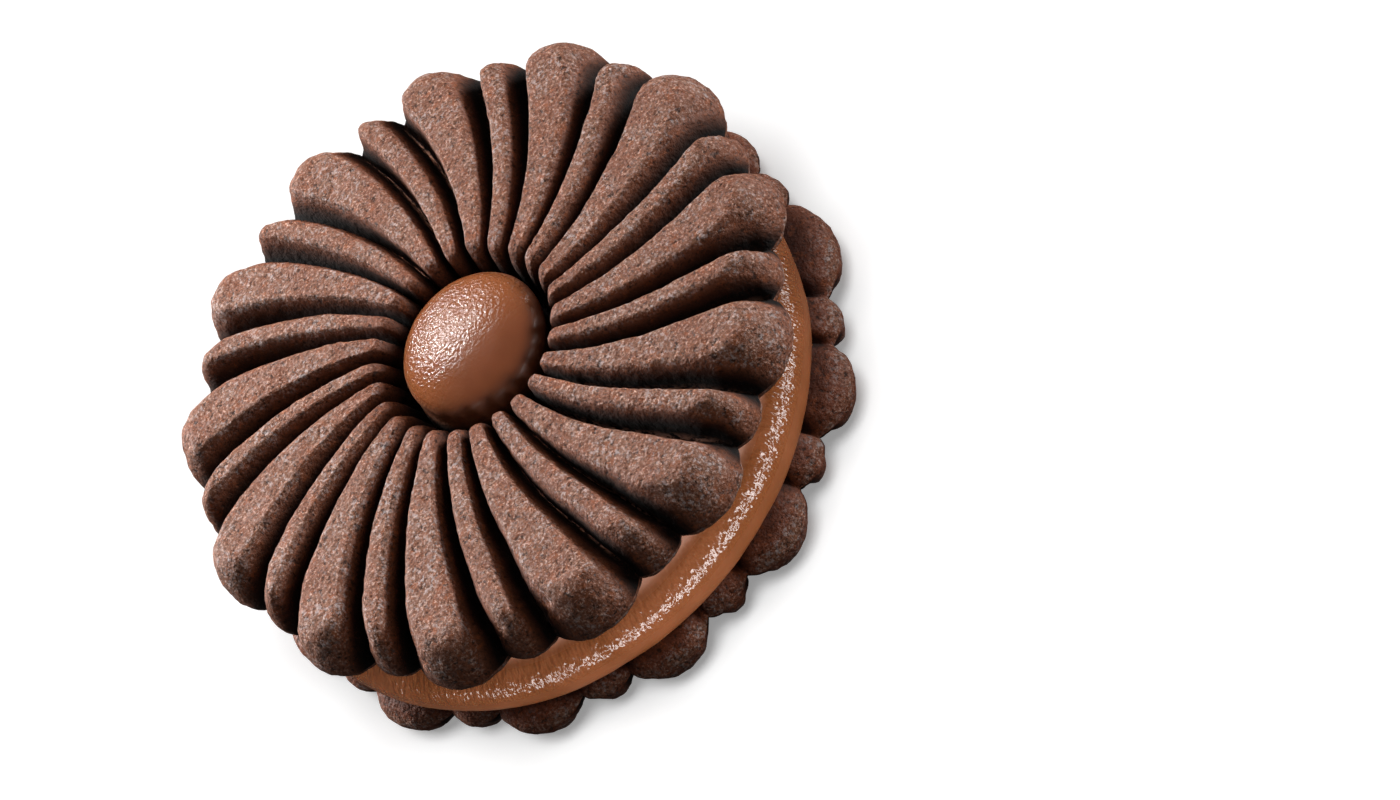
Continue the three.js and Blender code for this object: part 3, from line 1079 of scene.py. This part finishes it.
@dataclass
class Fudge:
    """The fudge: a thick layer with a bulging side, a neck through the hole, and a dome."""

    name: str
    node: str
    finish: SoftFudge
    lower_face: float
    upper_face: float
    seed: int = 5
    contact_radius: float = 20.7
    belly_centre: float = 19.3
    belly_rise: float = 3.0
    bulge: float = 2.75
    belly_height: float = 6.2
    belly_turn: float = math.radians(55.0)
    slump: float = 1.7
    slump_heading: float = math.radians(225.0)
    overlap: float = 0.3
    belly_share: float = 0.72
    lip_length: float = 2.2
    neck_radius: float = 5.55
    dome_radius: float = 5.65
    dome_shoulder: float = 3.4
    dome_drop: float = 0.8
    dome_shift: tuple[float, float] = (0.6, 0.0)
    shift_start: float = 1.0
    skin: tuple[tuple[float, float], ...] = ((0.12, 6.0), (0.03, 1.3))
    sectors: int = 12
    steps: int = 60
    underside_cuts: int = 3
    side_cuts: int = 35
    upper_cuts: int = 5
    neck_cuts: int = 8
    dome_cuts: int = 31

    def blank(self) -> Turned:
        """Describe the plain stepped blank: underside, side, upper face, neck and dome.

        Returns:
            The blank.
        """
        top = self._top()
        return Turned(
            (0.0, self.lower_face),
            (
                Stretch(self.contact_radius, self.lower_face, self.underside_cuts),
                Stretch(self.contact_radius, self.upper_face, self.side_cuts),
                Stretch(self.neck_radius, self.upper_face, self.upper_cuts),
                Stretch(self.neck_radius, top, self.neck_cuts),
                Stretch(0.0, top, self.dome_cuts),
            ),
            self.sectors,
            self.steps,
        )

    def _top(self) -> float:
        """Read the height of the dome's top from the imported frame."""
        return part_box(self.node)[1].z / MM

    def _side(self, share: Array, heading: Array) -> tuple[Array, Array]:
        """Follow the side: a low round belly, then a short lip up to the top biscuit.

        Args:
            share: How far up the side each point lies, from 0 to 1.
            heading: The direction from the middle to each point.

        Returns:
            The radius and the height of every point.
        """
        lean = (0.5 + 0.5 * np.cos(heading - self.slump_heading)) ** 2
        reach = self.bulge + self.slump * lean
        low_turn = -math.asin((self.belly_height - self.lower_face + self.overlap) / self.belly_rise)
        turn = low_turn + (self.belly_turn - low_turn) * np.minimum(share / self.belly_share, 1.0)
        belly_radius = self.belly_centre + reach * np.cos(turn)
        belly_height = self.belly_height + self.belly_rise * np.sin(turn)
        t = np.maximum(0.0, share - self.belly_share) / (1.0 - self.belly_share)
        leave = t**3 - 2.0 * t**2 + t
        arrive = t**3 - t**2
        join = 3.0 * t**2 - 2.0 * t**3
        radius = belly_radius + (self.contact_radius - belly_radius) * join
        radius -= self.lip_length * math.sin(self.belly_turn) * leave
        height = belly_height + (self.upper_face + self.overlap - belly_height) * join
        height += self.lip_length * (math.cos(self.belly_turn) * leave + arrive)
        return radius, height

    def _neck(self, share: Array) -> tuple[Array, Array]:
        """Follow the neck: straight up through the hole, then round into the dome's foot.

        Args:
            share: How far up the neck each point lies, from 0 to 1.

        Returns:
            The radius and the height of every point.
        """
        shoulder = self.upper_face + self.dome_shoulder
        foot = shoulder - self.dome_drop
        rise = np.minimum(share * 2.0, 1.0)
        turn = (1.0 - np.clip(share * 2.0 - 1.0, 0.0, 1.0)) * math.pi / 2.0
        radius = self.neck_radius + (self.dome_radius - self.neck_radius) * np.cos(turn)
        straight = self.upper_face + (foot - self.upper_face) * rise
        return radius, np.where(share < 0.5, straight, shoulder - self.dome_drop * np.sin(turn))

    def shape(self, surface: Surface) -> None:
        """Swell the side and the dome.

        Args:
            surface: The blank's surface.
        """
        along = surface.read("along", 1)
        heading = np.arctan2(surface.points[:, 1], surface.points[:, 0])
        side_radius, side_height = self._side(np.clip(along - 1.0, 0.0, 1.0), heading)
        neck_radius, neck_height = self._neck(np.clip(along - 3.0, 0.0, 1.0))
        shoulder = self.upper_face + self.dome_shoulder
        turn = np.clip(along - 4.0, 0.0, 1.0) * math.pi / 2.0
        dome_radius = self.dome_radius * np.cos(turn)
        dome_height = shoulder + (self._top() - shoulder) * np.sin(turn)
        blank_radius = np.hypot(surface.points[:, 0], surface.points[:, 1])
        part = [(along >= 1.0) & (along <= 2.0), (along > 3.0) & (along <= 4.0), along > 4.0]
        radius = np.select(part, [side_radius, neck_radius, dome_radius], blank_radius)
        height = np.select(part, [side_height, neck_height, dome_height], surface.points[:, 2])
        raised = smooth_step(height, self.upper_face + self.shift_start, shoulder) * (along > 3.0)
        x = radius * np.cos(heading) + self.dome_shift[0] * raised
        y = radius * np.sin(heading) + self.dome_shift[1] * raised
        surface.place(np.stack([x, y, height], axis=1))

    def settle(self, surface: Surface) -> None:
        """Give the fudge its soft unevenness."""
        surface.raise_by(rough(surface.points, self.skin, self.seed))

    def build(self) -> bpy.types.Object:
        """Turn, shape and dress the fudge.

        Returns:
            The finished piece.
        """
        surface = Surface(self.blank().mesh(self.name))
        self.shape(surface)
        self.settle(surface)
        piece = surface.finish(self.name)
        piece.data.materials.append(self.finish.material())
        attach(piece, "root")
        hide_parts(self.node)
        return piece


# ---------------------------------------------------------------- studio


@dataclass(frozen=True)
class Lamp:
    """A soft area lamp that points at the cookie.

    Angles are in degrees, its distance and size in metres, its aim beside the middle in
    millimetres.  It lights only the named objects, and all of them if none is named.
    """

    name: str
    azimuth: float
    elevation: float
    distance: float
    width: float
    height: float
    power: float
    spread: float = 180.0
    aim: tuple[float, float] = (0.0, 0.0)
    only: tuple[str, ...] = ()
    shine: bool = True

    def light(self, target: Vector) -> None:
        """Hang the lamp in its direction from the target, facing its aim beside it.

        Args:
            target: The middle of the cookie, in metres.
        """
        data = bpy.data.lights.new(self.name, "AREA")
        data.shape = "ELLIPSE"
        data.size = self.width
        data.size_y = self.height
        data.energy = self.power
        data.spread = math.radians(self.spread)
        lamp = bpy.data.objects.new(self.name, data)
        azimuth, elevation = math.radians(self.azimuth), math.radians(self.elevation)
        direction = Vector(
            (
                math.cos(elevation) * math.cos(azimuth),
                math.cos(elevation) * math.sin(azimuth),
                math.sin(elevation),
            )
        )
        lamp.location = target + direction * self.distance
        facing = lamp.location - target - Vector((self.aim[0] * MM, self.aim[1] * MM, 0.0))
        lamp.rotation_euler = facing.to_track_quat("Z", "Y").to_euler()
        lamp.visible_camera = False
        lamp.visible_glossy = self.shine
        if self.only:
            receivers = bpy.data.collections.new(self.name + "_lit")
            for name in self.only:
                receivers.objects.link(bpy.data.objects[name])
            lamp.light_linking.receiver_collection = receivers
        bpy.context.scene.collection.objects.link(lamp)


BISCUITS = ("top_biscuit_baked", "bottom_biscuit_baked")
FUDGE = ("fudge_soft",)
FLOOR = ("floor",)


def strip(name: str, azimuth: float, height: float, power: float) -> Lamp:
    """Describe one of the low, wide lamps that the fudge's side mirrors."""
    return Lamp(name, azimuth, 7.0, 0.7, 0.4, height, power, only=FUDGE)


@dataclass(frozen=True)
class Studio:
    """The plain floor, the lights and the even surroundings."""

    floor: PaleFloor = PaleFloor()
    floor_size: float = 3.0
    target_height: float = 0.01
    world_color: Color = (1.0, 1.0, 1.0, 1.0)
    world_strength: float = 0.065
    lamps: tuple[Lamp, ...] = (
        Lamp(
            "key", 86.0, 40.0, 0.6, 0.14, 0.14, 0.11, spread=21.0, aim=(-28.0, 39.0), only=BISCUITS,
            shine=False,
        ),
        Lamp("sheen", 120.0, 22.0, 0.24, 0.12, 0.06, 1.0, only=BISCUITS),
        Lamp("dome_key", 85.0, 40.5, 0.6, 0.34, 0.18, 3.2, only=FUDGE),
        Lamp("dome_core", 103.0, 34.0, 0.6, 0.1, 0.08, 4.0, only=FUDGE),
        Lamp("side_fill", 160.0, 28.0, 0.6, 0.2, 0.2, 0.25, only=BISCUITS, shine=False),
        Lamp("rim_right", -6.0, 10.0, 0.7, 0.25, 0.12, 3.2, only=BISCUITS),
        Lamp("rim_top", -16.0, 10.0, 0.7, 0.25, 0.12, 2.8, only=BISCUITS[:1]),
        Lamp("biscuit_fill", -58.0, 36.0, 0.14, 0.06, 0.04, 0.04, only=BISCUITS, shine=False),
        Lamp("fudge_fill", -108.0, 50.0, 0.7, 0.3, 0.3, 0.65, only=FUDGE, shine=False),
        strip("strip_left", -146.0, 0.2, 2.6),
        strip("strip_low", -104.0, 0.2, 4.2),
        strip("strip_near", -66.0, 0.2, 3.9),
        strip("strip_middle", -28.0, 0.18, 2.7),
        strip("strip_right", 10.0, 0.14, 1.1),
        Lamp("floor_light", -90.0, 80.0, 3.0, 2.0, 2.0, 84.0, only=FLOOR),
    )

    def build(self) -> None:
        """Lay the floor, hang the lamps and set the world."""
        bm = bmesh.new()
        bmesh.ops.create_grid(bm, x_segments=1, y_segments=1, size=self.floor_size / 2.0)
        mesh = bpy.data.meshes.new("floor")
        bm.to_mesh(mesh)
        bm.free()
        floor = bpy.data.objects.new("floor", mesh)
        floor.data.materials.append(self.floor.material())
        floor.visible_diffuse = False
        floor.visible_glossy = False
        bpy.context.scene.collection.objects.link(floor)
        floor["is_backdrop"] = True
        for lamp in self.lamps:
            lamp.light(Vector((0.0, 0.0, self.target_height)))
        world = bpy.data.worlds.new("soft_white")
        world.use_nodes = True
        background = world.node_tree.nodes["Background"]
        background.inputs["Color"].default_value = self.world_color
        background.inputs["Strength"].default_value = self.world_strength
        bpy.context.scene.world = world
        bpy.context.scene.view_settings.view_transform = "Standard"


@dataclass(frozen=True)
class Viewpoint:
    """The camera, which looks down at the cookie and is turned about its own axis.

    Its aim lies a little aside of the middle, given as parts of the distance.
    """

    elevation: float = 48.7031
    roll: float = 50.3
    distance: float = 0.3234
    lens: float = 117.36
    aim_height: float = 0.01188
    aside: tuple[float, float] = (0.04667, -0.00723)
    clip_start: float = 0.01

    def build(self) -> None:
        """Place the camera and make it the scene's own."""
        elevation, roll = math.radians(self.elevation), math.radians(self.roll)
        back = Vector((0.0, -math.cos(elevation), math.sin(elevation)))
        level_right = Vector((1.0, 0.0, 0.0))
        level_up = back.cross(level_right)
        right = level_right * math.cos(roll) - level_up * math.sin(roll)
        up = back.cross(right)
        backward = (back - right * self.aside[0] - up * self.aside[1]).normalized()
        right = (right - backward * right.dot(backward)).normalized()
        up = backward.cross(right)
        camera = bpy.data.objects.new("camera", bpy.data.cameras.new("camera"))
        camera.data.lens = self.lens
        camera.data.clip_start = self.clip_start
        camera.location = Vector((0.0, 0.0, self.aim_height)) + back * self.distance
        camera.rotation_euler = Matrix((right, up, backward)).transposed().to_euler()
        bpy.context.scene.collection.objects.link(camera)
        bpy.context.scene.camera = camera


# ---------------------------------------------------------------- the cookie


def main() -> None:
    """Build the cookie and the studio.
    """
    logging.basicConfig(level=logging.INFO, format="%(name)s: %(message)s")
    bottom = Biscuit(
        name="bottom_biscuit_baked",
        node="bottom_biscuit",
        seat=Seat.DOWN,
        turn=math.radians(336.3),
        flower=Flower({0: 1.28, 3: 0.95, 4: 0.95}),
        crumb=CocoaCrumb("bottom_crumb", flank="2f130a", edge="6a3620", top="764c38"),
        seed=11,
        centre_radius=5.7,
        nose_height=2.3,
        undercut=3.4,
        shift=(0.05, 0.42),
        crease_depth=0.9,
    )
    petals = {0: 1.13, 5: 1.1, 6: 1.035, 7: 0.97, 11: 1.02, 12: 0.925}
    top = Biscuit(
        name="top_biscuit_baked",
        node="top_biscuit",
        seat=Seat.UP,
        turn=math.radians(1.7),
        flower=Flower(petals, inner_shift=math.radians(-1.2)),
        crumb=CocoaCrumb("top_crumb"),
        seed=3,
        centre_radius=5.5,
        shift=(0.37, 0.0),
        rim_drift=(-0.6, -0.1),
    )
    fudge = Fudge(
        name="fudge_soft",
        node="fudge_filling",
        finish=SoftFudge("fudge"),
        lower_face=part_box("bottom_biscuit")[1].z / MM,
        upper_face=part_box("top_biscuit")[0].z / MM,
    )
    for part in (bottom, fudge, top):
        piece = part.build()
        LOG.info("%s: %d faces", piece.name, len(piece.data.polygons))
    Studio().build()
    Viewpoint().build()
    LOG.info("boxes written")


if __name__ == "__main__":
    main()
